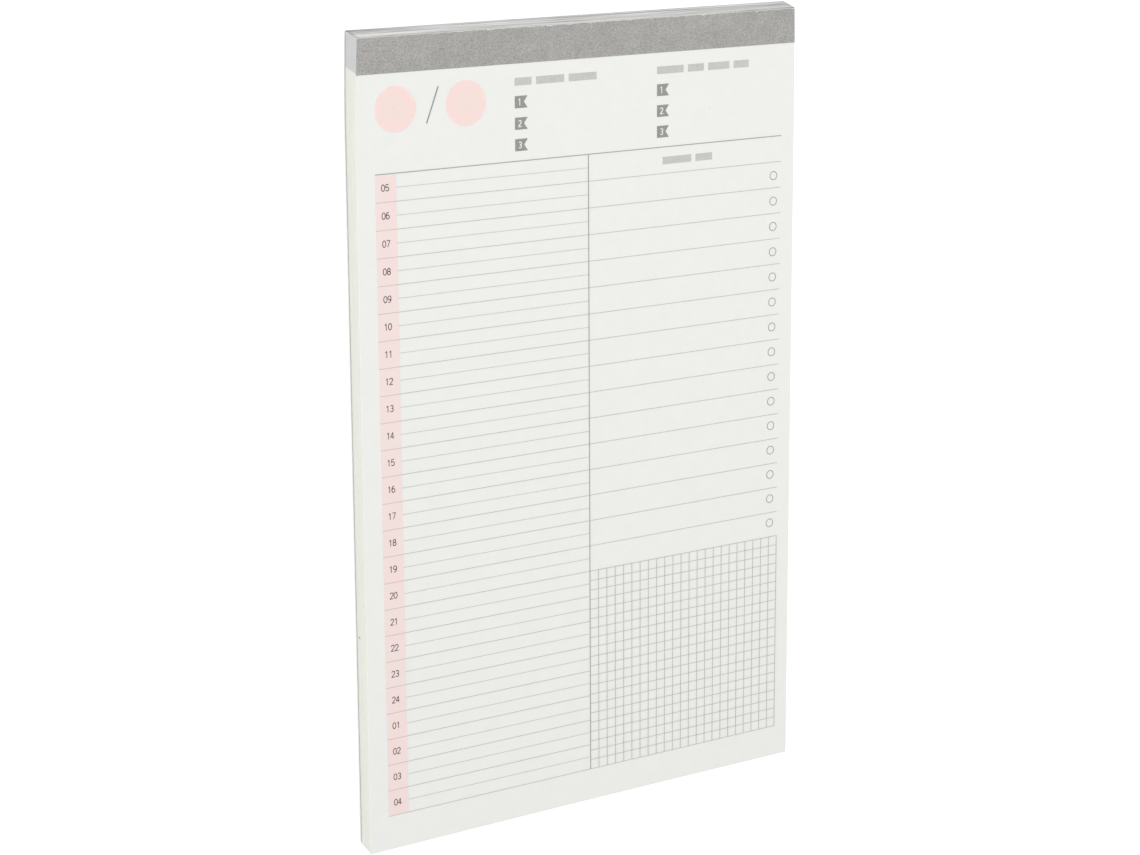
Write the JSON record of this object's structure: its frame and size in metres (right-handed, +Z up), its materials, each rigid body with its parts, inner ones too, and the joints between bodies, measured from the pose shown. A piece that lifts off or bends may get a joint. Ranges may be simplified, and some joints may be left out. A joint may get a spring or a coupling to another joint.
{
  "type": "notepad",
  "caption": "Glue-bound desk planner pad with a chipboard back, lying flat, its first page printed with an hourly column, ruled lines, a squared grid and tick rings.",
  "frame": {"origin": "middle of the pad's footprint, on the surface that it lies on", "axes": "+Z up out of the printed page, +Y up the page to the bound edge, +X to the right of the page"},
  "size_m": [0.151, 0.2416, 0.0065],
  "materials": {
    "board": "matte",
    "paper": "matte",
    "glue": "satin",
    "band_ink": "matte",
    "pink_ink": "matte",
    "grey_ink": "matte",
    "line_ink": "matte",
    "heading_ink": "matte"
  },
  "bodies": {
    "root": {"backing_board": "board", "sheet_block": "paper", "binding_film": "glue", "header_band": "band_ink", "hour_column": "pink_ink", "date_circle_1": "pink_ink", "date_circle_2": "pink_ink", "date_slash": "grey_ink", "ruled_lines": "line_ink", "grid_columns": "line_ink", "goal_flag_1": "grey_ink", "note_flag_1": "grey_ink", "goal_flag_2": "grey_ink", "note_flag_2": "grey_ink", "goal_flag_3": "grey_ink", "note_flag_3": "grey_ink", "goal_heading_bar_1": "heading_ink", "goal_heading_bar_2": "heading_ink", "goal_heading_bar_3": "heading_ink", "note_heading_bar_1": "heading_ink", "note_heading_bar_2": "heading_ink", "note_heading_bar_3": "heading_ink", "note_heading_bar_4": "heading_ink", "check_heading_bar_1": "heading_ink", "check_heading_bar_2": "heading_ink", "check_ring_1": "grey_ink", "check_ring_2": "grey_ink", "check_ring_3": "grey_ink", "check_ring_4": "grey_ink", "check_ring_5": "grey_ink", "check_ring_6": "grey_ink", "check_ring_7": "grey_ink", "check_ring_8": "grey_ink", "check_ring_9": "grey_ink", "check_ring_10": "grey_ink", "check_ring_11": "grey_ink", "check_ring_12": "grey_ink", "check_ring_13": "grey_ink", "check_ring_14": "grey_ink", "check_ring_15": "grey_ink"}
  },
  "joints": []
}
